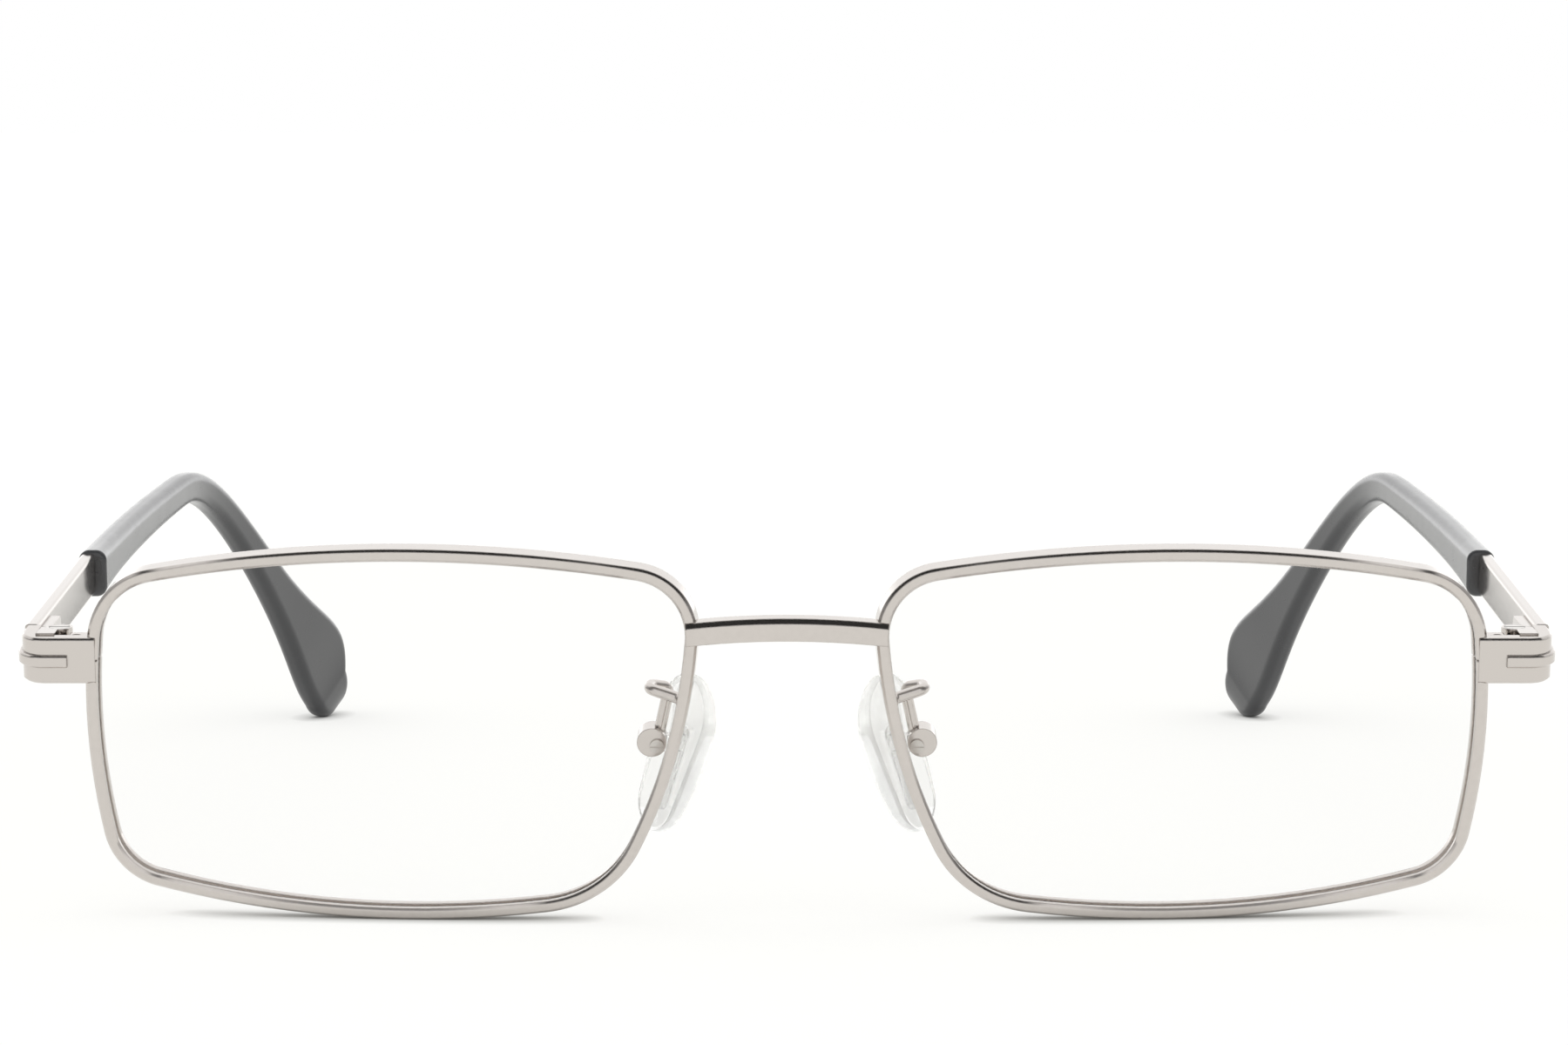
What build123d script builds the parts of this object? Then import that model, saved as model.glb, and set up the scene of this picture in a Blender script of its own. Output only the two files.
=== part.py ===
from build123d import *
import os
from math import atan2, cos, degrees, radians, sin, sqrt

# Rectangular metal eyeglasses with clear lenses, standing open on their rims and temple tips.
#
# The glasses are drawn level, with the front upright, and then tipped onto their rims and tips.
# Left and right are the wearer's. The wearer looks along -Y, so left is the +X side, and every
# side piece is drawn there and mirrored. All lengths are in millimetres, all angles in degrees.

# Lens, seen square on, with its nasal edge at -X and its outer edge at +X
lens_width = 55.9
lens_height = 34.5
lens_gap = 18.5
lens_thickness = 1.8
lens_base_radius = 130.0
lens_corner_shares = ((-0.502, 0.408), (0.484, 0.376), (0.465, -0.423), (-0.354, -0.463))
lens_top_bow = 3.48
lens_outer_bow = 1.39
lens_bottom_bow = 2.09
lens_nasal_bow = 2.28
lens_nasal_top_radius = 5.9
lens_outer_top_radius = 7.0
lens_outer_bottom_radius = 5.3
lens_nasal_bottom_radius = 10.2
lens_ridge = 0.6
lens_play = 0.03

# How the lenses turn to the face, and how far the temples drop from square to the front
face_form_angle = 4.0
pantoscopic_angle = 4.9

# Rims, bent from a flat-fronted wire that grips the lens in a groove
rim_width = 1.15
rim_depth = 2.2
rim_front_bevel = 0.26
groove_depth = 0.35
groove_width = 0.8
rim_split = 0.14

# Bridge, an arched bar lapped over the fronts of both rims
bridge_height = 2.15
bridge_depth = 1.7
bridge_arch = 0.8
bridge_bevel = 0.46
bridge_round = 0.2
bridge_level = 9.03
bridge_proud = 0.45
bridge_short_of_lens = 0.15

# Endpieces, from the rim front round the corner to the temple
endpiece_height = 4.4
endpiece_level = 6.0
endpiece_proud = 0.45
endpiece_plate = 1.25
endpiece_lap = 1.35
endpiece_reach = 5.7
endpiece_wall = 1.4
endpiece_corner = 2.35
endpiece_inner_corner = 0.5
endpiece_bevel = 0.22
endpiece_end = 0.35
band_height = 1.15
band_rise = 0.38
band_bevel = 0.16
band_start = 2.6

# Rim locks behind the endpieces, two blocks drawn together by a screw
lock_width = 1.35
lock_depth = 2.1
lock_height = 3.7
lock_round = 0.25
lock_screw_radius = 0.45
lock_screw_play = 0.05
lock_screw_short = 0.4
lock_head_radius = 0.65
lock_head_height = 0.4

# Hinges, with two knuckles on the front, one on the temple, and a screw
hinge_level = 6.25
hinge_set_in = 3.15
hinge_set_back = 4.2
knuckle_radius = 1.25
knuckle_height = 1.2
knuckle_gap = 0.06
knuckle_clearance = 0.12
hinge_block_behind = 0.1
hinge_screw_radius = 0.55
hinge_screw_play = 0.04
hinge_screw_short = 0.3
hinge_head_radius = 0.95
hinge_head_height = 0.35
leaf_thickness = 0.9
leaf_length = 7.6
leaf_height = 3.1
leaf_start = 1.5
leaf_end_round = 0.8
screw_slot_width = 0.22
screw_slot_depth = 0.2

# Temples, a metal bar that runs on as a core inside the sleeve
temple_length = 139.0
bar_length = 37.0
bar_thickness = 1.35
bar_proud = 0.15
bar_front_height = 4.05
bar_rear_height = 4.15
bar_corner = 0.35
bar_gap = 0.05
let_out_angle = 0.51
bow_angle = 5.75
bend_start = 88.8
bend_length = 16.8
drop_angle = 44.1
curl_angle = 19.7
tip_in_angle = 17.7
tip_roll_angle = 7.1
core_thickness = 1.0
core_front_height = 2.6
core_tip_height = 1.6
core_corner = 0.3
core_short_of_tip = 7.0
route_steps = 64
core_place_shares = (0.0, 0.26, 0.52, 0.58, 0.65, 0.72, 0.86, 1.0)

# Sleeves over the temples' rear ends, with a paddle at the tip
sleeve_front_thickness = 2.81
sleeve_tip_thickness = 2.67
sleeve_outside_bar = 0.255
sleeve_paddle_height = 9.0
sleeve_rise_share = 0.31
sleeve_corner_share = 0.38
sleeve_end_bevel = 0.25
sleeve_height_shares = (
    0.533, 0.478, 0.452, 0.436, 0.422, 0.408, 0.396, 0.386,
    0.386, 0.398, 0.424, 0.492, 0.66, 1.0, 0.85,
)
tip_round = 3.0
tip_round_shares = (0.0, 0.3, 0.55, 0.75, 0.9, 0.98)

# Nose pads and the inserts moulded into them
pad_length = 15.8
pad_top_radius = 4.2
pad_bottom_radius = 3.2
pad_thickness = 2.0
pad_crown_radius = 30.0
pad_edge_round = 0.4
pad_side = 10.3
pad_back = 9.0
pad_drop = 4.3
pad_splay_angle = 32.0
pad_frontal_angle = 17.0
insert_thickness = 0.5
insert_width = 2.6
insert_length = 8.6
insert_corner = 0.8
insert_top = 3.0
tongue_thickness = 1.0
tongue_height = 1.6
tongue_reach = 2.85

# Boxes that hold the pads' tongues, their screws, and the bent wire arms
box_radius = 1.4
box_length = 2.4
box_side = 1.95
box_forward = 0.9
box_rise = 1.4
box_off_screw_side = 0.5
box_off_screw_rise = 0.3
box_play = 0.06
box_swing = 0.25
pad_screw_radius = 0.35
pad_screw_play = 0.04
pad_head_radius = 0.65
pad_head_height = 0.3
arm_radius = 0.55
arm_bend = 0.8
arm_root_level = 2.55
arm_root_in_rim = 0.2
arm_stand = 0.9
arm_out = 3.0
arm_lift = 0.62
arm_turn = 2.1
arm_return = 1.3
arm_lean = 1.65
arm_end_reach = 1.2

# Every cut runs past what it cuts by this much
overrun = 2.0

# Worked out from the sizes above
eye_x = (lens_gap + lens_width) / 2
rim_inner = -groove_depth
rim_outer = rim_width - groove_depth
rim_side = eye_x + lens_width / 2 + rim_outer
knuckle_step = knuckle_height + knuckle_gap
barrel_half = knuckle_height / 2 + knuckle_step
sleeve_front_height = sleeve_paddle_height * sleeve_height_shares[0]
front_reach = 2 * rim_side


def bowed(start, end, bow):
    """Arc from start to end that stands out by bow on the left of the way."""
    way = end - start
    left = Vector(-way.Y, way.X).normalized()
    return ThreePointArc(start, (start + end) / 2 + left * bow, end)


def grown(arc, grow):
    """An arc with each point moved away from the arc's centre by a length."""
    points = [arc @ 0, arc @ (1 / 2), arc @ 1]
    return ThreePointArc(*(point + (point - arc.arc_center).normalized() * grow for point in points))


def lens_face(grow):
    """The lens's outline, grown by a length, as a face in the XZ plane."""
    points = [Vector(x * lens_width, z * lens_height) for x, z in lens_corner_shares]
    bows = (lens_top_bow, lens_outer_bow, lens_bottom_bow, lens_nasal_bow)
    radii = (
        lens_nasal_top_radius,
        lens_outer_top_radius,
        lens_outer_bottom_radius,
        lens_nasal_bottom_radius,
    )
    face = make_face([bowed(points[i], points[i - 3], bow) for i, bow in enumerate(bows)])
    for point, radius in zip(points, radii):
        face = fillet(face.vertices().sort_by_distance(point)[0], radius)
    return Plane.XZ * make_face([grown(arc, grow) for arc in face.edges()])


def lens_prism(grow):
    """The lens's outline, grown by a length, drawn out past the front and back of the rim."""
    return extrude(lens_face(grow), lens_width / 2, both=True)


def ball(inset):
    """The ball on whose skin the rim's front lies, or one that much inside it."""
    return Pos(0, lens_base_radius, 0) * Sphere(lens_base_radius - inset)


def layer(middle, thickness):
    """A ball-shaped layer, as a pair of balls, about a depth behind the rim's front."""
    return ball(middle - thickness / 2), ball(middle + thickness / 2)


def front_depth(x, z):
    """How far back the rim's front lies at a place in the front view."""
    turn = radians(face_form_angle)
    across = (x - eye_x) / cos(turn)
    sag = lens_base_radius - sqrt(lens_base_radius**2 - across**2 - z**2)
    return across * sin(turn) + sag * cos(turn)


def slab(x, y, z):
    """A box between two values along each axis."""
    middle = Pos((x[0] + x[1]) / 2, (y[0] + y[1]) / 2, (z[0] + z[1]) / 2)
    return middle * Box(x[1] - x[0], y[1] - y[0], z[1] - z[0])


def rod(radius, low, high):
    """A cylinder on the Z axis between two heights."""
    return Pos(0, 0, (low + high) / 2) * Cylinder(radius, high - low)


def slotted_head(radius, low, high):
    """A screw head between two heights, with a driver slot across its top."""
    slot = slab(
        (-radius - overrun, radius + overrun),
        (-screw_slot_width / 2, screw_slot_width / 2),
        (high - screw_slot_depth, high + overrun),
    )
    return rod(radius, low, high) - slot


# Frames in which the left side's pieces are drawn
endpiece_front = front_depth(rim_side, endpiece_level) - endpiece_proud
endpiece_x = rim_side + endpiece_reach
eye = Pos(eye_x, 0, 0) * Rot(0, 0, face_form_angle)
hinge_place = Pos(endpiece_x - hinge_set_in, endpiece_front + hinge_set_back, hinge_level)
hinge = hinge_place * Rot(-pantoscopic_angle, 0, 0)
pad_place = Pos(pad_side, pad_back, -pad_drop)
pad = pad_place * Rot(0, -pad_frontal_angle, 0) * Rot(0, 0, -pad_splay_angle)
box = pad_place * Pos(box_side, -box_forward, box_rise)
cup_centre = box * Pos(box_off_screw_side, 0, box_off_screw_rise)
lock_screw_x = rim_side + lock_width / 2
lock_screw_y = endpiece_front + endpiece_plate + lock_depth / 2
lock_screw_place = Pos(lock_screw_x, lock_screw_y, endpiece_level) * Rot(180, 0, 0)


def groove():
    """The room for the lens's ridge in the rim's groove."""
    front, back = layer(rim_depth / 2, groove_width)
    return (lens_prism(lens_play) & front) - back


def build_rim():
    """A grooved ring cut from a ball-shaped layer, and split behind the endpiece."""
    ring = (lens_prism(rim_outer) - lens_prism(rim_inner)) & ball(0)
    ring -= ball(rim_depth)
    ring = chamfer(ring.faces().sort_by(Axis.Y)[0].edges(), rim_front_bevel)
    ring -= groove()
    split = slab(
        (0, lens_width),
        (-overrun, lens_width),
        (endpiece_level - rim_split / 2, endpiece_level + rim_split / 2),
    )
    return eye * (ring - split)


def build_lens():
    """A curved slice that fills the rim, with a ridge for the rim's groove."""
    front, back = layer(rim_depth / 2, lens_thickness)
    body = (lens_prism(rim_inner - lens_play) & front) - back
    front, back = layer(rim_depth / 2, lens_ridge)
    ridge = (lens_prism(0) & front) - back
    return eye * (body + ridge)


def build_bridge(rim, other_rim):
    """An arched bar whose ends lie in front of the rims."""
    half = lens_gap / 2 + 2 * rim_width
    front = front_depth(lens_gap / 2, bridge_level) - bridge_proud
    low = bridge_level
    high = bridge_level + bridge_height
    outline = [
        ThreePointArc((-half, low - bridge_arch), (0, low), (half, low - bridge_arch)),
        Line((half, low - bridge_arch), (half, high - bridge_arch)),
        ThreePointArc((half, high - bridge_arch), (0, high), (-half, high - bridge_arch)),
        Line((-half, high - bridge_arch), (-half, low - bridge_arch)),
    ]
    bar = Pos(0, front + bridge_depth, 0) * extrude(Plane.XZ * make_face(outline), bridge_depth)
    edges = bar.edges().filter_by(GeomType.CIRCLE).sort_by(Axis.Y)
    bar = chamfer(edges[:2].sort_by(Axis.Z)[-1], bridge_bevel)
    edges = bar.edges().filter_by(GeomType.CIRCLE).sort_by(Axis.Z)
    bar = fillet(edges[:2], bridge_round)
    lens_side = eye * (lens_prism(rim_inner + bridge_short_of_lens) + groove())
    return bar - lens_side - mirror(lens_side, Plane.YZ) - rim - other_rim


def endpiece_outline(grow):
    """The endpiece seen from above, an L round the corner, grown on its outside by a length."""
    left = rim_side - endpiece_lap
    right = endpiece_x
    front = endpiece_front
    back = hinge_place.position.Y + endpiece_height
    points = (
        (left, front - grow),
        (right + grow, front - grow),
        (right + grow, back),
        (right - endpiece_wall, back),
        (right - endpiece_wall, front + endpiece_plate),
        (left, front + endpiece_plate),
    )
    face = make_face(Polyline(*points, close=True))
    outer = face.vertices().sort_by_distance(points[1])[0]
    face = fillet(outer, endpiece_corner + grow)
    inner = face.vertices().sort_by_distance(points[4])[0]
    return fillet(inner, endpiece_inner_corner)


def bevelled_bar(outline, height, bevel):
    """An outline drawn up to a height about the endpiece's level, its outer edges bevelled."""
    bar = Pos(0, 0, endpiece_level - height / 2) * extrude(outline, height)
    faces = bar.faces().sort_by(Axis.Z)
    edges = faces[0].edges() + faces[-1].edges()
    return chamfer([edge for edge in edges if on_outside(edge)], bevel)


def build_endpiece(rim):
    """The block that laps the rim, with a raised band, cut square to the temple behind."""
    whole = (-front_reach, front_reach)
    body = bevelled_bar(endpiece_outline(0), endpiece_height, endpiece_bevel)
    band = bevelled_bar(endpiece_outline(band_rise), band_height, band_bevel)
    start = rim_side - endpiece_lap + band_start
    band &= slab((start, front_reach), whole, whole)
    cut = hinge * slab(whole, (endpiece_end, front_reach), whole)
    lens_side = eye * (lens_prism(rim_inner) + groove())
    return body + band - cut - lens_side - rim


def on_outside(edge):
    """Whether an edge of the endpiece's outline is on its front, its corner or its outer side."""
    middle = edge.center(CenterOf.GEOMETRY)
    in_front = middle.Y < endpiece_front + endpiece_corner / 2
    beside = middle.X > endpiece_x - endpiece_wall / 2
    return (in_front and edge.length > endpiece_plate * 2) or beside


def build_locks(rim, endpiece):
    """The upper and lower halves of the rim lock, drilled for the screw."""
    near = rim_side - rim_width
    far = rim_side + lock_width
    front = endpiece_front + endpiece_plate
    back = front + lock_depth
    halves = []
    for side in (1, -1):
        inner = endpiece_level + side * rim_split / 2
        outer = endpiece_level + side * lock_height / 2
        half = slab((near, far), (front, back), (min(inner, outer), max(inner, outer)))
        half = fillet(half.edges().filter_by(Axis.Z).sort_by(Axis.X)[2:].sort_by(Axis.Y)[-1], lock_round)
        halves.append(half - eye * lens_prism(rim_outer) - endpiece)
    upper, lower = halves
    upper -= lock_screw_place * rod(lock_screw_radius, -lock_height, lock_height)
    lower -= lock_screw_place * rod(lock_screw_radius + lock_screw_play, -lock_height, lock_height)
    return upper, lower


def build_lock_screw():
    """The screw that comes up through the lower lock half, its head below."""
    low = -lock_height / 2 + lock_screw_short
    high = lock_height / 2
    head = slotted_head(lock_head_radius, high, high + lock_head_height)
    return lock_screw_place * (rod(lock_screw_radius, low, high) + head)


def build_hinge_front(endpiece):
    """The top and bottom knuckles, on a block seated in the corner of the endpiece."""
    block = slab(
        (0, hinge_set_in - endpiece_wall),
        (-hinge_set_back, -hinge_block_behind),
        (-barrel_half, barrel_half),
    )
    part = block + rod(knuckle_radius, -barrel_half, barrel_half)
    middle = knuckle_height / 2 + knuckle_gap
    part -= rod(knuckle_radius + knuckle_clearance, -middle, middle)
    part -= slab((-overrun, front_reach), (-hinge_block_behind, front_reach), (-middle, middle))
    part -= rod(hinge_screw_radius, -overrun - barrel_half, 0)
    part -= rod(hinge_screw_radius + hinge_screw_play, 0, overrun + barrel_half)
    sunk = barrel_half - hinge_head_height
    part -= rod(hinge_head_radius + hinge_screw_play, sunk, overrun + barrel_half)
    front = endpiece_front + endpiece_plate
    room_in_front = slab((0, front_reach), (-front_reach, front), (-front_reach, front_reach))
    return hinge * part - (endpiece + room_in_front)


def build_hinge_screw():
    """The hinge screw, its slotted head sunk flush in the top knuckle."""
    low = -barrel_half + hinge_screw_short
    sunk = barrel_half - hinge_head_height
    head = slotted_head(hinge_head_radius, sunk, barrel_half)
    return hinge * (rod(hinge_screw_radius, low, sunk) + head)


def build_hinge_temple(bar):
    """The middle knuckle, on a leaf that lies along the inside of the temple bar."""
    half = knuckle_height / 2
    face = hinge_set_in + bar_proud - bar_thickness
    into_bar = face + bar_thickness / 2
    leaf = slab(
        (face - leaf_thickness, into_bar),
        (leaf_start, leaf_length),
        (-leaf_height / 2, leaf_height / 2),
    )
    corners = leaf.edges().filter_by(Axis.X).sort_by(Axis.Y)[2:]
    leaf = fillet(corners, leaf_end_round)
    web = slab((0, into_bar), (endpiece_end + bar_gap, leaf_start + leaf_thickness), (-half, half))
    part = leaf + web + rod(knuckle_radius, -half, half)
    part -= rod(hinge_screw_radius + hinge_screw_play, -knuckle_step, knuckle_step)
    return hinge * part - bar


def covered(start, end, first, last):
    """The share of the stretch from first to last that lies between start and end."""
    return max(0, min(end, last) - max(start, first)) / (last - first)


def temple_frame(place):
    """The frame at a place along the temple, +Y along it, in the hinge's frame."""
    centre_x = hinge_set_in + bar_proud + sleeve_outside_bar - sleeve_front_thickness / 2
    frame = Pos(centre_x, 0, 0) * Rot(0, 0, -let_out_angle)
    step = place / route_steps
    for index in range(route_steps):
        start, end = index * step, (index + 1) * step
        bow = bow_angle * covered(start, end, bar_length, bend_start)
        bend = covered(start, end, bend_start, bend_start + bend_length)
        drop = drop_angle * bend
        drop += curl_angle * covered(start, end, bend_start + bend_length, temple_length)
        roll = tip_roll_angle * covered(start, end, bend_start, temple_length)
        turn = Rot(-drop, -roll, bow + tip_in_angle * bend)
        frame = frame * Pos(0, step / 2, 0) * turn * Pos(0, step / 2, 0)
    return frame


def section(place, shift, rise, thickness, height, corner):
    """A rounded rectangle across the temple at a place, moved outwards and up from its middle line."""
    face = Plane.XZ * RectangleRounded(thickness, height, corner)
    return temple_frame(place) * Pos(shift, 0, rise) * face


def mix(start, end, share):
    """The value a share of the way from start to end."""
    return start + (end - start) * share


def build_temple():
    """The bar and the core in one piece, in the hinge's frame."""
    shift = sleeve_front_thickness / 2 - sleeve_outside_bar - bar_thickness / 2
    first = endpiece_end + bar_gap
    places = (first, mix(first, bar_length, 1 / 2), bar_length)
    heights = (bar_front_height, mix(bar_front_height, bar_rear_height, 1 / 2), bar_rear_height)
    sections = [
        section(place, shift, 0, bar_thickness, height, bar_corner)
        for place, height in zip(places, heights)
    ]
    return hinge * (loft(sections) + build_core(shift))


def build_core(shift):
    """The part of the temple that the sleeve covers, which moves to the sleeve's middle."""
    length = temple_length - core_short_of_tip - bar_length
    sections = []
    for share in core_place_shares:
        place = bar_length + share * length
        height = mix(core_front_height, core_tip_height, share)
        moved = shift * max(0, 1 - share / core_place_shares[2])
        sections.append(section(place, moved, 0, core_thickness, height, core_corner))
    return loft(sections, ruled=True)


def sleeve_loft(places, sizes):
    """A smooth loft through rounded sections of the sleeve, which swells more upwards than down."""
    sections = []
    for place, (thickness, height) in zip(places, sizes):
        rise = sleeve_rise_share * max(0, height - sleeve_front_height)
        corner = sleeve_corner_share * min(thickness, height)
        sections.append(section(place, 0, rise, thickness, height, corner))
    return loft(sections)


def build_sleeve(temple):
    """The sleeve, with its paddle and rounded tip, hollow for the temple's core."""
    first = bar_length + sleeve_end_bevel
    last = temple_length - tip_round
    steps = len(sleeve_height_shares) - 1
    places = [mix(first, last, step / steps) for step in range(steps + 1)]
    sizes = [
        (mix(sleeve_front_thickness, sleeve_tip_thickness, step / steps), sleeve_paddle_height * share)
        for step, share in enumerate(sleeve_height_shares)
    ]
    arm = sleeve_loft(places, sizes)
    bevelled = (sleeve_front_thickness - 2 * sleeve_end_bevel, sleeve_front_height - 2 * sleeve_end_bevel)
    arm += sleeve_loft([bar_length, first], [bevelled, sizes[0]])
    return hinge * (arm + build_tip(last)) - temple


def build_tip(start):
    """The rounded end of the sleeve, whose middle line stays where the paddle leaves it."""
    height = sleeve_paddle_height * sleeve_height_shares[-1]
    rise = sleeve_rise_share * (height - sleeve_front_height)
    sections = []
    for share in tip_round_shares:
        left = sqrt(1 - share**2)
        thickness = sleeve_tip_thickness * sqrt(left)
        low = height - 2 * tip_round * (1 - left)
        corner = sleeve_corner_share * min(thickness, low)
        place = mix(start, temple_length, share)
        sections.append(section(place, 0, rise, thickness, low, corner))
    return loft(sections)


def build_pad():
    """A drop-shaped pad with a crowned face towards the nose, in the upright front."""
    top = Pos(0, pad_length / 2 - pad_top_radius) * Circle(pad_top_radius)
    bottom = Pos(0, pad_bottom_radius - pad_length / 2) * Circle(pad_bottom_radius)
    drop = make_hull(top.edges() + bottom.edges())
    body = extrude(Plane.YZ * drop, pad_thickness / 2, both=True)
    body &= Pos(pad_crown_radius - pad_thickness / 2, 0, 0) * Sphere(pad_crown_radius)
    return pad * fillet(body.edges(), pad_edge_round)


def build_insert():
    """The plate moulded into the pad, and the drilled tongue that enters the box."""
    plate = Plane.YZ * RectangleRounded(insert_width, insert_length, insert_corner)
    plate = Pos(0, 0, insert_top - insert_length / 2) * extrude(plate, insert_thickness / 2, both=True)
    tongue = slab(
        (-tongue_reach, 0),
        (-tongue_thickness / 2, tongue_thickness / 2),
        (-tongue_height / 2, tongue_height / 2),
    )
    eyelet = Rot(90, 0, 0) * Cylinder(tongue_height / 2, tongue_thickness)
    hole = Rot(90, 0, 0) * Cylinder(pad_screw_radius + pad_screw_play, box_length)
    return pad * plate + box * (tongue + eyelet) - box * hole


def build_box():
    """The round cup that the pad's tongue turns in, open below and towards the nose."""
    slot = slab(
        (-2 * box_radius - overrun, tongue_height / 2 + box_play),
        (-tongue_thickness / 2 - box_play, tongue_thickness / 2 + box_play),
        (-2 * box_radius - overrun, tongue_height / 2 + box_swing),
    )
    hole = Rot(90, 0, 0) * Cylinder(pad_screw_radius, box_length + overrun)
    cup = cup_centre * Rot(90, 0, 0) * Cylinder(box_radius, box_length)
    return cup - box * (slot + hole)


def build_pad_screw():
    """The screw across the box, its slotted head towards the front."""
    half = box_length / 2
    head = slotted_head(pad_head_radius, half, half + pad_head_height)
    return box * Rot(90, 0, 0) * (rod(pad_screw_radius, -half, half) + head)


def nasal_x(grow, level):
    """How far across the grown lens outline starts at a level, in the upright front."""
    strip = slab((-lens_width, 0), (-overrun, overrun), (level - rim_width / 2, level + rim_width / 2))
    return (eye * (lens_face(grow) & strip)).bounding_box().min.X


def build_pad_arm(rim, cup):
    """The bent wire from the back of the rim round to the top of the box."""
    top = cup_centre.position
    root_x = nasal_x(rim_outer - arm_radius, arm_root_level)
    root_y = front_depth(root_x, arm_root_level) + rim_depth
    bend = Vector(top.X - arm_lean, top.Y, arm_root_level)
    end = box.position + (bend - box.position).normalized() * arm_end_reach
    points = (
        (root_x, root_y - arm_root_in_rim, arm_root_level),
        (root_x, root_y + arm_stand, arm_root_level),
        (root_x + arm_out, root_y + arm_turn, arm_root_level + arm_lift),
        (root_x + arm_out, top.Y - arm_return, arm_root_level + arm_lift),
        bend,
        end,
    )
    path = FilletPolyline(*points, radius=arm_bend)
    wire = sweep(Plane(path @ 0, z_dir=path % 0) * Circle(arm_radius), path)
    return (wire - rim - cup - eye * groove()).solids().sort_by(SortBy.VOLUME)[-1]


def settle(fronts, tips):
    """The turn about X and the lift that stand the glasses on their rims and temple tips."""
    turn = pantoscopic_angle
    for _ in range(6):
        low_front = (Rot(turn, 0, 0) * fronts).bounding_box()
        low_tip = (Rot(turn, 0, 0) * tips).bounding_box()
        apart = low_tip.max.Y - low_front.max.Y
        turn += degrees(atan2(low_front.min.Z - low_tip.min.Z, apart))
    return turn, -low_front.min.Z


def build_left():
    """Every left-hand piece, by name, in the upright front."""
    rim = build_rim()
    endpiece = build_endpiece(rim)
    lock_upper, lock_lower = build_locks(rim, endpiece)
    temple = build_temple()
    nose_insert = build_insert()
    cup = build_box()
    return {
        "rim": rim,
        "lens": build_lens(),
        "endpiece": endpiece,
        "rim_lock_upper": lock_upper,
        "rim_lock_lower": lock_lower,
        "rim_lock_screw": build_lock_screw(),
        "hinge_front_half": build_hinge_front(endpiece),
        "hinge_screw": build_hinge_screw(),
        "hinge_temple_half": build_hinge_temple(temple),
        "temple": temple,
        "temple_sleeve": build_sleeve(temple),
        "nose_pad": build_pad() - nose_insert,
        "pad_insert": nose_insert,
        "pad_box": cup,
        "pad_screw": build_pad_screw(),
        "pad_arm": build_pad_arm(rim, cup),
    }


def main():
    """Builds both sides and the bridge, stands them up and writes one file for each piece."""
    left = build_left()
    nodes = {name + "_left": piece for name, piece in left.items()}
    nodes |= {name + "_right": mirror(piece, Plane.YZ) for name, piece in left.items()}
    nodes["bridge"] = build_bridge(nodes["rim_left"], nodes["rim_right"])
    turn, lift = settle(left["rim"], left["temple_sleeve"])
    standing = {name: Pos(0, 0, lift) * Rot(turn, 0, 0) * piece for name, piece in nodes.items()}
    whole = Compound(list(standing.values())).bounding_box()
    centred = Pos(0, -(whole.min.Y + whole.max.Y) / 2, 0)
    os.makedirs("parts", exist_ok=True)
    for name, piece in standing.items():
        export_step(centred * piece, "parts/" + name + ".step")
    frame = centred * Pos(0, 0, lift) * Rot(turn, 0, 0)
    print("tip", turn, "size", whole.size)
    for name, place in (("hinge", frame * hinge), ("pad", frame * box)):
        plane = Plane(place)
        print(name, "at", plane.origin, "Y", plane.y_dir, "Z", plane.z_dir)


main()
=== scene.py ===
import logging
import math
from dataclasses import dataclass
from enum import Enum
from typing import Any

import bpy
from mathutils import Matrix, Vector


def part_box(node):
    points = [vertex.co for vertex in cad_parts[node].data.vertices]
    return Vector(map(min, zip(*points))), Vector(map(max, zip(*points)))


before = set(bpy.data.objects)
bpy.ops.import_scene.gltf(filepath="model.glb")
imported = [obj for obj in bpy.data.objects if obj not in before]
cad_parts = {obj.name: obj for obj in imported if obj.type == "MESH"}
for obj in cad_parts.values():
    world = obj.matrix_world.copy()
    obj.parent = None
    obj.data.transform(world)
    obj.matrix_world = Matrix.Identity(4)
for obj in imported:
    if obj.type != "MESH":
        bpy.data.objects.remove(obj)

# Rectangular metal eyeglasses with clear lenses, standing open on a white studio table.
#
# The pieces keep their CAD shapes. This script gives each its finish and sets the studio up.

log = logging.getLogger("eyeglasses")

MM = 0.001

# The sRGB curve is straight near black and a power above that
SRGB_KNEE = 0.04045
SRGB_SLOPE = 12.92
SRGB_OFFSET = 0.055
SRGB_POWER = 2.4

# A mix node's colour sockets, which share their names with those of its other kinds
MIX_FIRST_COLOUR = 6
MIX_SECOND_COLOUR = 7
MIX_COLOUR_RESULT = 2

WHOLE = (0.0, 1.0)


class Side(Enum):
    """The wearer's left and right."""

    LEFT = "left"
    RIGHT = "right"


def linear(hex_colour: str) -> tuple[float, float, float, float]:
    """Turns an sRGB hex colour into a linear one.

    Args:
        hex_colour: Six hex digits after a hash.

    Returns:
        Red, green, blue and an alpha of one.
    """
    digits = hex_colour.lstrip("#")
    values = [int(digits[i : i + 2], 16) / 255 for i in (0, 2, 4)]
    curved = [
        v / SRGB_SLOPE if v <= SRGB_KNEE else ((v + SRGB_OFFSET) / (1 + SRGB_OFFSET)) ** SRGB_POWER
        for v in values
    ]
    return (curved[0], curved[1], curved[2], 1.0)


def add_node(tree: Any, kind: str, settings: dict[Any, Any], links: dict[Any, Any]) -> Any:
    """Adds a node to a tree with its settings and its links.

    Args:
        tree: The node tree.
        kind: The node's type name.
        settings: Attributes of the node by name, and values of its inputs by name or index.
        links: The output socket that feeds each input, by the input's name or index.

    Returns:
        The new node.
    """
    node = tree.nodes.new(kind)
    for key, value in settings.items():
        if isinstance(key, str) and hasattr(node, key):
            setattr(node, key, value)
        else:
            node.inputs[key].default_value = value
    for key, output in links.items():
        tree.links.new(output, node.inputs[key])
    return node


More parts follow.
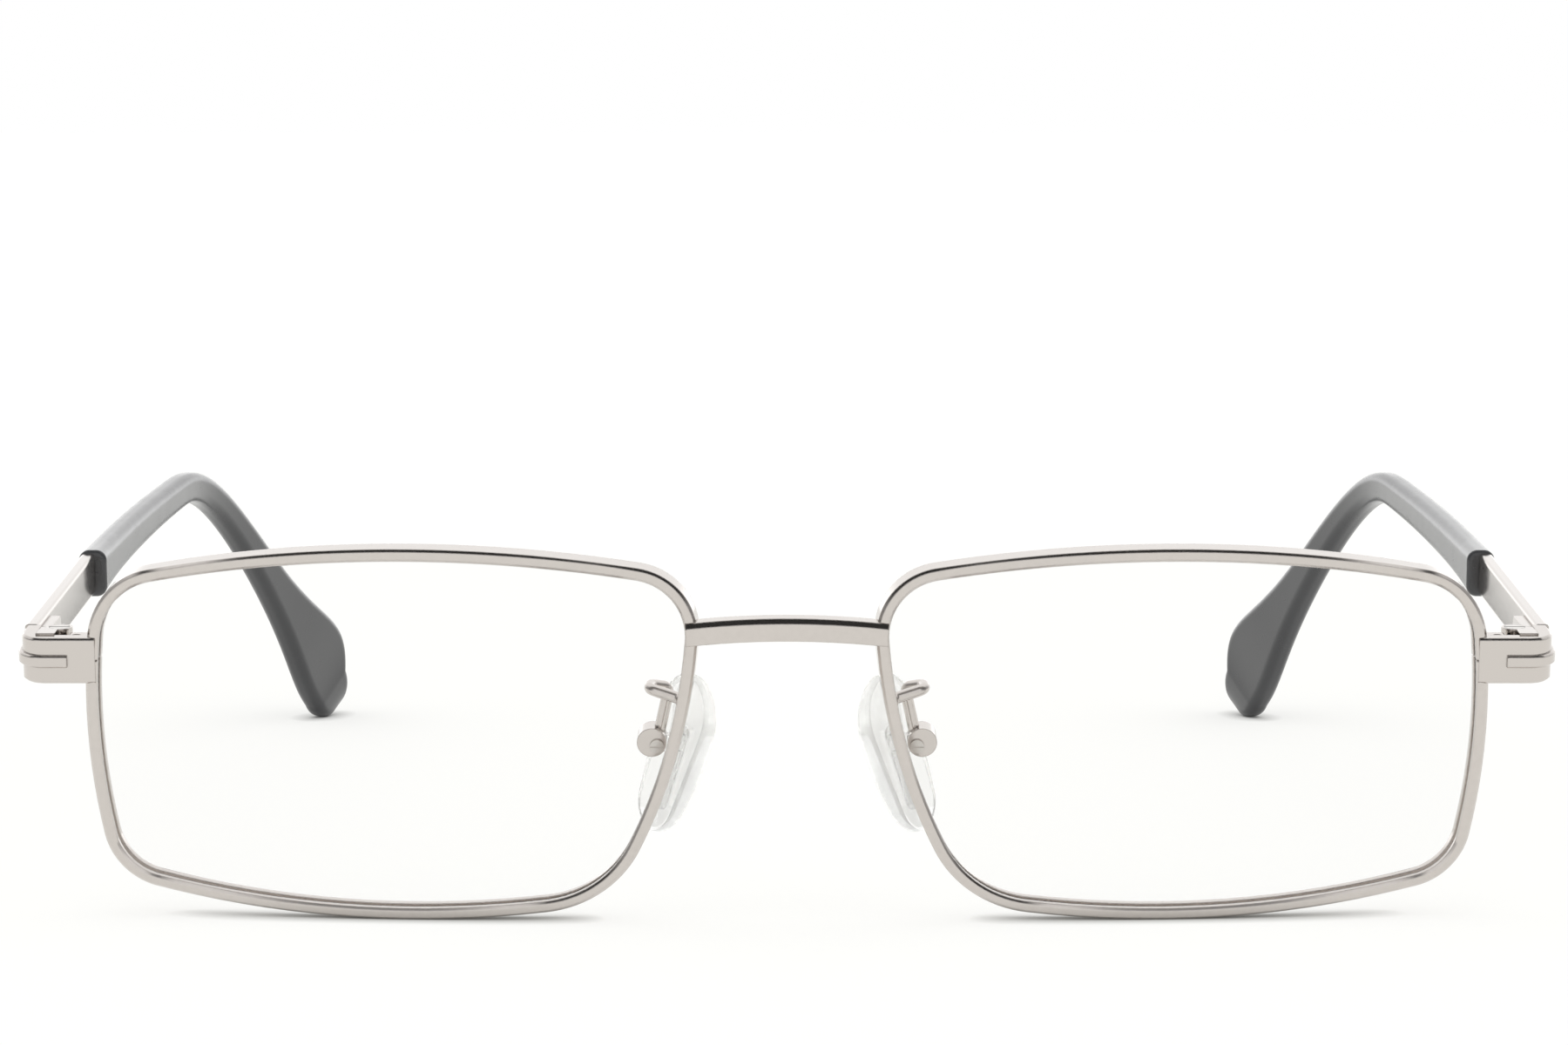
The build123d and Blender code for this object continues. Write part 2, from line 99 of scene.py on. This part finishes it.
def new_material(name: str) -> tuple[Any, Any]:
    """Makes an empty node material.

    Args:
        name: The material's name.

    Returns:
        The material and its node tree, with only an output in it.
    """
    material = bpy.data.materials.new(name)
    material.use_nodes = True
    tree = material.node_tree
    tree.nodes.clear()
    tree.nodes.new("ShaderNodeOutputMaterial")
    return material, tree


def connect_surface(tree: Any, shader: Any) -> None:
    """Feeds a shader's output into the tree's material output.

    Args:
        tree: The material's node tree.
        shader: The shader's output.
    """
    output = next(node for node in tree.nodes if node.type == "OUTPUT_MATERIAL")
    tree.links.new(shader, output.inputs["Surface"])


def calculate(tree: Any, operation: str, *values: Any) -> Any:
    """Adds a sum to a tree.

    Args:
        tree: The node tree.
        operation: What the maths node does.
        values: Its inputs in order, each a float or an output.

    Returns:
        The output that gives the result.
    """
    numbers = {i: value for i, value in enumerate(values) if isinstance(value, float)}
    links = {i: value for i, value in enumerate(values) if i not in numbers}
    return add_node(tree, "ShaderNodeMath", {"operation": operation} | numbers, links).outputs[0]


def ramp(
    tree: Any,
    value: Any,
    across: tuple[float, float],
    result: tuple[float, float] = WHOLE,
    soft: bool = False,
) -> Any:
    """Adds a ramp that stays level before its start and after its end.

    Args:
        tree: The node tree.
        value: The output that the ramp follows.
        across: Where it starts and ends.
        result: What it gives at its start and its end.
        soft: Whether it starts and ends gently.

    Returns:
        The output that gives the result.
    """
    node = add_node(
        tree,
        "ShaderNodeMapRange",
        {
            "interpolation_type": "SMOOTHSTEP" if soft else "LINEAR",
            "From Min": across[0],
            "From Max": across[1],
            "To Min": result[0],
            "To Max": result[1],
        },
        {"Value": value},
    )
    return node.outputs["Result"]


def mix_colours(tree: Any, share: Any, first: str, second: str) -> Any:
    """Adds a mix of two colours.

    Args:
        tree: The node tree.
        share: The output that gives the second colour's share.
        first: The first colour in hex.
        second: The second colour in hex.

    Returns:
        The output that gives the mixed colour.
    """
    node = add_node(
        tree,
        "ShaderNodeMix",
        {
            "data_type": "RGBA",
            MIX_FIRST_COLOUR: linear(first),
            MIX_SECOND_COLOUR: linear(second),
        },
        {"Factor": share},
    )
    return node.outputs[MIX_COLOUR_RESULT]


def mix_shaders(tree: Any, share: Any, first: Any, second: Any) -> Any:
    """Adds a mix of two shaders.

    Args:
        tree: The node tree.
        share: The output that gives the second shader's share.
        first: The first shader's node.
        second: The second shader's node.

    Returns:
        The mixed shader's output.
    """
    links = {0: share, 1: first.outputs[0], 2: second.outputs[0]}
    return add_node(tree, "ShaderNodeMixShader", {}, links).outputs[0]


def noise_in_mm(tree: Any, size_mm: float, detail: float) -> Any:
    """Adds a noise whose spots have a real size.

    Args:
        tree: The material's node tree.
        size_mm: The size of a spot in millimetres.
        detail: How many finer layers the noise has.

    Returns:
        The output that gives the noise.
    """
    where = add_node(tree, "ShaderNodeTexCoord", {}, {})
    noise = add_node(
        tree,
        "ShaderNodeTexNoise",
        {"Scale": 1 / (size_mm * MM), "Detail": detail},
        {"Vector": where.outputs["Object"]},
    )
    return noise.outputs["Fac"]


def uneven_roughness(tree: Any, roughness: float, spread: float, pattern: Any) -> Any:
    """Adds a roughness that follows a pattern.

    Args:
        tree: The material's node tree.
        roughness: The mean roughness.
        spread: How far it strays from the mean, as a share of it.
        pattern: The output that it follows.

    Returns:
        The output that gives the roughness.
    """
    return ramp(tree, pattern, WHOLE, (roughness * (1 - spread), roughness * (1 + spread)))


def soft_edges(tree: Any, edge_mm: float, samples: int) -> Any:
    """Adds a normal that rounds a piece's edges.

    Args:
        tree: The material's node tree.
        edge_mm: The edges' radius in millimetres.
        samples: How many rays look for an edge.

    Returns:
        The output that gives the normal.
    """
    edge = add_node(tree, "ShaderNodeBevel", {"samples": samples, "Radius": edge_mm * MM}, {})
    return edge.outputs["Normal"]


def fine_waves(tree: Any, pattern: Any, strength: float, height_mm: float, under: dict[str, Any]) -> Any:
    """Adds a normal with waves too fine for the mesh.

    Args:
        tree: The material's node tree.
        pattern: The output that the waves follow.
        strength: How strongly they show.
        height_mm: Their height in millimetres.
        under: The normal that they lie on, as a link, or nothing for the mesh's own.

    Returns:
        The output that gives the normal.
    """
    bump = add_node(
        tree,
        "ShaderNodeBump",
        {"Strength": strength, "Distance": height_mm * MM},
        {"Height": pattern} | under,
    )
    return bump.outputs["Normal"]


def open_air(tree: Any, reach_mm: float, samples: int) -> Any:
    """Adds a measure of how open a spot is.

    Args:
        tree: The material's node tree.
        reach_mm: How far off in millimetres a piece still closes it in.
        samples: How many rays look for one.

    Returns:
        The node, whose outputs are white and one in the open.
    """
    settings = {"samples": samples, "Distance": reach_mm * MM}
    return add_node(tree, "ShaderNodeAmbientOcclusion", settings, {})


@dataclass(frozen=True)
class Plating:
    """Bright nickel plating over buffed metal."""

    # Buffed plating gives clear reflections with a faint haze in patches, and edges worn round
    # that catch a thin line of light
    roughness: float = 0.13
    roughness_spread: float = 0.3
    haze_mm: float = 0.6
    haze_detail: float = 3.0
    wave_strength: float = 0.03
    wave_mm: float = 0.01
    edge_mm: float = 0.2
    edge_samples: int = 4

    def add_haze(self, tree: Any) -> Any:
        """Adds the noise that the haze follows.

        Args:
            tree: The material's node tree.

        Returns:
            The output that gives the noise.
        """
        return noise_in_mm(tree, self.haze_mm, self.haze_detail)

    def add_metal(self, tree: Any, haze: Any, colour: Any) -> None:
        """Adds the metal's shader and connects it.

        Args:
            tree: The material's node tree.
            haze: The output that the roughness and the fine waves follow.
            colour: The output that gives the colour.
        """
        edge = soft_edges(tree, self.edge_mm, self.edge_samples)
        normal = fine_waves(tree, haze, self.wave_strength, self.wave_mm, {"Normal": edge})
        rough = uneven_roughness(tree, self.roughness, self.roughness_spread, haze)
        shader = add_node(
            tree,
            "ShaderNodeBsdfPrincipled",
            {"Metallic": 1.0},
            {"Base Color": colour, "Roughness": rough, "Normal": normal},
        )
        connect_surface(tree, shader.outputs["BSDF"])


@dataclass(frozen=True)
class PlatedWire(Plating):
    """Nickel alloy wire, drawn, buffed and plated."""

    # Drawn wire is evenly bright along its length, a little darker where the haze lies
    name: str = "buffed_plated_nickel_wire"
    colour: str = "#D1CBC6"
    haze_colour: str = "#CAC4BF"

    def build(self) -> Any:
        """Makes the material, with its haze and its softened edges.

        Returns:
            The material.
        """
        material, tree = new_material(self.name)
        haze = self.add_haze(tree)
        self.add_metal(tree, haze, mix_colours(tree, haze, self.colour, self.haze_colour))
        return material


@dataclass(frozen=True)
class PlatedStamping(Plating):
    """Nickel alloy stampings, buffed and plated."""

    # Buffing leaves the open faces bright, and painted shade darkens the gaps where pieces lie close
    name: str = "buffed_plated_nickel_stamping"
    colour: str = "#CEC8C3"
    painted_shade_colour: str = "#4A443F"
    painted_shade_reach_mm: float = 0.35
    painted_shade_samples: int = 6
    # How open a spot is where the painted shade is darkest, and from where the metal is bright
    painted_shade_open: tuple[float, float] = (0.2, 0.7)

    def build(self) -> Any:
        """Makes the material, with its haze, its softened edges and painted shade in its gaps.

        Returns:
            The material.
        """
        material, tree = new_material(self.name)
        haze = self.add_haze(tree)
        air = open_air(tree, self.painted_shade_reach_mm, self.painted_shade_samples)
        # Painted shade: the colour goes to a near black where ambient occlusion finds other pieces close
        # by
        unshaded = ramp(tree, air.outputs["AO"], self.painted_shade_open)
        self.add_metal(tree, haze, mix_colours(tree, unshaded, self.painted_shade_colour, self.colour))
        return material


@dataclass(frozen=True)
class TurnedSteel:
    """Stainless steel screws, turned in a lathe and left bright."""

    # Turning leaves fine rings, so the heads look a little greyer and softer than the plating
    name: str = "turned_stainless_steel"
    colour: str = "#CFCBC6"
    roughness: float = 0.2
    roughness_spread: float = 0.3
    ring_mm: float = 0.12
    ring_detail: float = 2.0
    wave_strength: float = 0.08
    wave_mm: float = 0.01

    def build(self) -> Any:
        """Makes the material, with the patches of light that turned rings give.

        Returns:
            The material.
        """
        material, tree = new_material(self.name)
        rings = noise_in_mm(tree, self.ring_mm, self.ring_detail)
        rough = uneven_roughness(tree, self.roughness, self.roughness_spread, rings)
        normal = fine_waves(tree, rings, self.wave_strength, self.wave_mm, {})
        shader = add_node(
            tree,
            "ShaderNodeBsdfPrincipled",
            {"Base Color": linear(self.colour), "Metallic": 1.0},
            {"Roughness": rough, "Normal": normal},
        )
        connect_surface(tree, shader.outputs["BSDF"])
        return material


@dataclass(frozen=True)
class BlackAcetate:
    """Black cellulose acetate, tumbled smooth."""

    # Tumbled acetate is near black face on and turns silver-grey along a low line of sight. Its
    # gloss lies over the black like a coat, a little wavy and softer than a polished one
    name: str = "tumbled_black_acetate"
    colour: str = "#232427"
    roughness: float = 0.26
    roughness_spread: float = 0.15
    ior: float = 1.5
    gloss: float = 0.65
    ripple_mm: float = 2.4
    ripple_detail: float = 2.0
    wave_strength: float = 0.05
    wave_mm: float = 0.02
    edge_mm: float = 0.6
    edge_samples: int = 8

    def build(self) -> Any:
        """Makes the material, with the faint waviness that tumbling leaves.

        Returns:
            The material.
        """
        material, tree = new_material(self.name)
        ripple = noise_in_mm(tree, self.ripple_mm, self.ripple_detail)
        rough = uneven_roughness(tree, self.roughness, self.roughness_spread, ripple)
        edge = soft_edges(tree, self.edge_mm, self.edge_samples)
        normal = fine_waves(tree, ripple, self.wave_strength, self.wave_mm, {"Normal": edge})
        shader = add_node(
            tree,
            "ShaderNodeBsdfPrincipled",
            {
                "Base Color": linear(self.colour),
                "IOR": self.ior,
                "Coat Weight": self.gloss,
                "Coat Roughness": self.roughness,
            },
            {"Roughness": rough, "Normal": normal, "Coat Normal": normal},
        )
        connect_surface(tree, shader.outputs["BSDF"])
        return material


@dataclass(frozen=True)
class LensPlastic:
    """A clear lens plastic, cast, polished and coated against reflections."""

    # A thin lens with no prescription hardly bends what lies behind it. The coat takes its gloss
    # away face on, so it shows along a low line of sight, where fine scratches make it uneven
    name: str = "cast_clear_lens_plastic"
    ior: float = 1.5
    colour: str = "#FEFEFE"
    roughness: float = 0.02
    roughness_spread: float = 0.5
    scratch_mm: float = 0.8
    scratch_detail: float = 4.0
    coat_takes: float = 0.046

    def build(self) -> Any:
        """Makes the material, clear but for the gloss of its outer faces.

        Returns:
            The material.
        """
        material, tree = new_material(self.name)
        scratches = noise_in_mm(tree, self.scratch_mm, self.scratch_detail)
        rough = uneven_roughness(tree, self.roughness, self.roughness_spread, scratches)
        gloss = add_node(tree, "ShaderNodeBsdfGlossy", {}, {"Roughness": rough})
        through = add_node(tree, "ShaderNodeBsdfTransparent", {"Color": linear(self.colour)}, {})
        fresnel = add_node(tree, "ShaderNodeFresnel", {"IOR": self.ior}, {})
        uncoated = ramp(tree, fresnel.outputs[0], (self.coat_takes, 1.0))
        face = add_node(tree, "ShaderNodeNewGeometry", {}, {})
        outside = calculate(tree, "SUBTRACT", 1.0, face.outputs["Backfacing"])
        share = calculate(tree, "MULTIPLY", uncoated, outside)
        connect_surface(tree, mix_shaders(tree, share, through, gloss))
        return material


@dataclass(frozen=True)
class ClearPlastic:
    """A clear plastic, moulded, that casts only a faint shadow."""

    # A clear plastic shows mostly by its edges, where it bends what lies behind it. Faintness is
    # the share of light that goes straight through it, as in a thin wall
    name: str
    ior: float
    faintness: float
    roughness: float
    colour: str = "#FFFFFF"
    shadow: str = "#F8F8F7"

    def build(self) -> Any:
        """Makes the material, plain to look through for the rays that carry its shadow.

        Returns:
            The material.
        """
        material, tree = new_material(self.name)
        solid = add_node(
            tree,
            "ShaderNodeBsdfPrincipled",
            {
                "Base Color": linear(self.colour),
                "Roughness": self.roughness,
                "IOR": self.ior,
                "Transmission Weight": 1.0,
            },
            {},
        )
        through = add_node(tree, "ShaderNodeBsdfTransparent", {"Color": linear(self.shadow)}, {})
        rays = add_node(tree, "ShaderNodeLightPath", {}, {}).outputs
        unseen = calculate(tree, "MAXIMUM", rays["Is Shadow Ray"], rays["Is Diffuse Ray"])
        clear = calculate(tree, "MAXIMUM", unseen, self.faintness)
        connect_surface(tree, mix_shaders(tree, clear, solid, through))
        return material


def dress(node: str, material: Any) -> None:
    """Gives a CAD node its material.

    Args:
        node: The CAD node's name.
        material: The material it gets in every slot.
    """
    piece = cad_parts[node]
    piece.data.materials.clear()
    piece.data.materials.append(material)
    log.info("dressed %s in %s", node, material.name)


@dataclass
class Front:
    """The rims, their locks, the bridge and the endpieces."""

    wire: Any
    stamping: Any
    steel: Any

    def build(self) -> None:
        """Dresses both rims with all that is brazed or screwed to them."""
        dress("bridge", self.wire)
        for side in Side:
            dress(f"rim_{side.value}", self.wire)
            for piece in ("endpiece", "rim_lock_upper", "rim_lock_lower"):
                dress(f"{piece}_{side.value}", self.stamping)
            dress(f"rim_lock_screw_{side.value}", self.steel)


@dataclass
class Lenses:
    """The two lenses in the rims' grooves."""

    plastic: Any

    def build(self) -> None:
        """Dresses both lenses."""
        for side in Side:
            dress(f"lens_{side.value}", self.plastic)


@dataclass
class Temple:
    """One side's hinge, bar and sleeve."""

    side: Side
    stamping: Any
    steel: Any
    acetate: Any

    def build(self) -> None:
        """Dresses the hinge halves, the screw, the bar and the sleeve."""
        for piece in ("hinge_front_half", "hinge_temple_half", "temple"):
            dress(f"{piece}_{self.side.value}", self.stamping)
        dress(f"hinge_screw_{self.side.value}", self.steel)
        dress(f"temple_sleeve_{self.side.value}", self.acetate)


@dataclass
class NosePad:
    """One side's pad, its insert, and the box and arm that carry it."""

    side: Side
    wire: Any
    stamping: Any
    steel: Any
    silicone: Any
    insert: Any

    def build(self) -> None:
        """Dresses the pad and what holds it."""
        dress(f"nose_pad_{self.side.value}", self.silicone)
        dress(f"pad_insert_{self.side.value}", self.insert)
        dress(f"pad_box_{self.side.value}", self.stamping)
        dress(f"pad_arm_{self.side.value}", self.wire)
        dress(f"pad_screw_{self.side.value}", self.steel)


@dataclass
class Camera:
    """The photograph's camera, placed from the front of the rims."""

    lens_mm: float = 103.824
    sensor_mm: float = 36.0
    before_front_mm: float = 412.343
    height_mm: float = 83.69
    side_mm: float = -0.28
    pitch_degrees: float = 6.302
    nearest: float = 0.01
    furthest: float = 20.0

    def build(self) -> None:
        """Makes the camera and gives it to the scene."""
        data = bpy.data.cameras.new("camera")
        data.lens = self.lens_mm
        data.sensor_width = self.sensor_mm
        data.clip_start = self.nearest
        data.clip_end = self.furthest
        camera = bpy.data.objects.new("camera", data)
        bpy.context.scene.collection.objects.link(camera)
        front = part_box("rim_left")[0].y
        camera.location = (self.side_mm * MM, front - self.before_front_mm * MM, self.height_mm * MM)
        camera.rotation_euler = (math.radians(90 - self.pitch_degrees), 0.0, 0.0)
        bpy.context.scene.camera = camera
        log.info("camera at %s", tuple(camera.location))


@dataclass
class Studio:
    """A white table in a tent with a bright back, grey sides and a black flag over the front.

    Each pair of numbers says where in the tent a tone starts to change and where it has changed,
    as the part of a direction that lies along X, Y or Z.
    """

    table_half_width: float = 3.0
    table_below_mm: float = 0.02
    table_colour: str = "#D4D0CC"
    shade_colour: str = "#B4B4B0"
    glow: float = 0.57
    # Reach and samples of the painted contact shadow that dims the table's glow
    painted_shadow_mm: float = 2.5
    painted_shadow_samples: int = 12
    wall_strength: float = 1.6
    wall_y: tuple[float, float] = (-0.1, 0.3)
    high_share: float = 0.3
    high_z: tuple[float, float] = (0.1, 0.25)
    side_strength: float = 0.35
    side_x: tuple[float, float] = (0.6, 0.97)
    flag_strength: float = 0.03
    flag_near_y: tuple[float, float] = (0.0, -0.1)
    flag_far_y: tuple[float, float] = (-0.65, -0.53)
    flag_low_z: tuple[float, float] = (0.1, 0.5)

    def build(self) -> None:
        """Makes the table and the tent."""
        self.build_table()
        self.build_tent()

    def build_table(self) -> None:
        """Makes the table, white to the eye and to metal and glass where nothing shades it."""
        half = self.table_half_width
        mesh = bpy.data.meshes.new("table")
        corners = [(-half, -half, 0.0), (half, -half, 0.0), (half, half, 0.0), (-half, half, 0.0)]
        mesh.from_pydata(corners, [], [(0, 1, 2, 3)])
        table = bpy.data.objects.new("table", mesh)
        bpy.context.scene.collection.objects.link(table)
        table.location.z = -self.table_below_mm * MM
        mesh.materials.append(self.paper())
        log.info("table made")

    def paper(self) -> Any:
        """Makes the table's material.

        Returns:
            The material.
        """
        # Matt paper gives no reflection. Its glow brings it to white, with a painted contact shadow that
        # dims the glow where a piece lies close, while the light that it sends back to the part is that
        # of plain paper
        material, tree = new_material("white_paper")
        rays = add_node(tree, "ShaderNodeLightPath", {}, {}).outputs
        plain = add_node(tree, "ShaderNodeBsdfDiffuse", {"Color": linear(self.table_colour)}, {})
        shade = add_node(tree, "ShaderNodeBsdfDiffuse", {"Color": linear(self.shade_colour)}, {})
        # Painted contact shadow: ambient occlusion dims the glow where a piece lies close to the table
        painted_shadow = open_air(tree, self.painted_shadow_mm, self.painted_shadow_samples)
        glow = add_node(
            tree, "ShaderNodeEmission", {"Strength": self.glow}, {"Color": painted_shadow.outputs["Color"]}
        )
        lit = add_node(tree, "ShaderNodeAddShader", {}, {0: shade.outputs[0], 1: glow.outputs[0]})
        connect_surface(tree, mix_shaders(tree, rays["Is Diffuse Ray"], lit, plain))
        return material

    def build_tent(self) -> None:
        """Makes the world, white to the eye, with the bright wall and the flag for reflections."""
        world = bpy.data.worlds.new("tent")
        bpy.context.scene.world = world
        world.use_nodes = True
        tree = world.node_tree
        tree.nodes.clear()
        where = add_node(tree, "ShaderNodeTexCoord", {}, {})
        axes = add_node(tree, "ShaderNodeSeparateXYZ", {}, {0: where.outputs["Generated"]}).outputs
        strength = add_node(
            tree,
            "ShaderNodeMix",
            {"data_type": "FLOAT", "B": self.flag_strength},
            {"Factor": self.flag(tree, axes), "A": self.walls(tree, axes)},
        )
        white = linear("#FFFFFF")
        seen_in_gloss = add_node(
            tree, "ShaderNodeBackground", {"Color": white}, {"Strength": strength.outputs[0]}
        )
        plain = add_node(tree, "ShaderNodeBackground", {"Color": white, "Strength": 1.0}, {})
        rays = add_node(tree, "ShaderNodeLightPath", {}, {}).outputs
        mixed = mix_shaders(tree, rays["Is Glossy Ray"], plain, seen_in_gloss)
        add_node(tree, "ShaderNodeOutputWorld", {}, {"Surface": mixed})
        log.info("tent made")

    def flag(self, tree: Any, axes: Any) -> Any:
        """Adds the black flag, a band above the camera's side of the table.

        Args:
            tree: The world's node tree.
            axes: The outputs that give a direction's parts.

        Returns:
            The output that gives the flag's share of a direction.
        """
        ahead = ramp(tree, axes["Y"], self.flag_near_y, soft=True)
        within = ramp(tree, axes["Y"], self.flag_far_y, soft=True)
        above = ramp(tree, axes["Z"], self.flag_low_z, soft=True)
        return calculate(tree, "MULTIPLY", calculate(tree, "MULTIPLY", ahead, within), above)

    def walls(self, tree: Any, axes: Any) -> Any:
        """Adds the tent's walls, brightest low at the back and grey at the sides.

        Args:
            tree: The world's node tree.
            axes: The outputs that give a direction's parts.

        Returns:
            The output that gives a wall's strength.
        """
        back = ramp(tree, axes["Y"], self.wall_y, (0.0, self.wall_strength - 1.0), soft=True)
        high = ramp(tree, axes["Z"], self.high_z, (1.0, self.high_share), soft=True)
        across = calculate(tree, "ABSOLUTE", axes["X"])
        side = ramp(tree, across, self.side_x, (1.0, self.side_strength), soft=True)
        return calculate(tree, "MULTIPLY", calculate(tree, "MULTIPLY_ADD", back, high, 1.0), side)


def main() -> None:
    """Dresses each sub-assembly, sets the studio up and places the camera."""
    logging.basicConfig(level=logging.INFO)
    bpy.context.scene.view_settings.view_transform = "Standard"
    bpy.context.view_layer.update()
    wire = PlatedWire().build()
    stamping = PlatedStamping().build()
    steel = TurnedSteel().build()
    acetate = BlackAcetate().build()
    lens = LensPlastic().build()
    silicone = ClearPlastic("moulded_clear_silicone", ior=1.41, faintness=0.45, roughness=0.1).build()
    insert = ClearPlastic("moulded_clear_polycarbonate", ior=1.58, faintness=0.1, roughness=0.05).build()
    Front(wire, stamping, steel).build()
    Lenses(lens).build()
    for side in Side:
        Temple(side, stamping, steel, acetate).build()
        NosePad(side, wire, stamping, steel, silicone, insert).build()
    Studio().build()
    Camera().build()


if __name__ == "__main__":
    main()
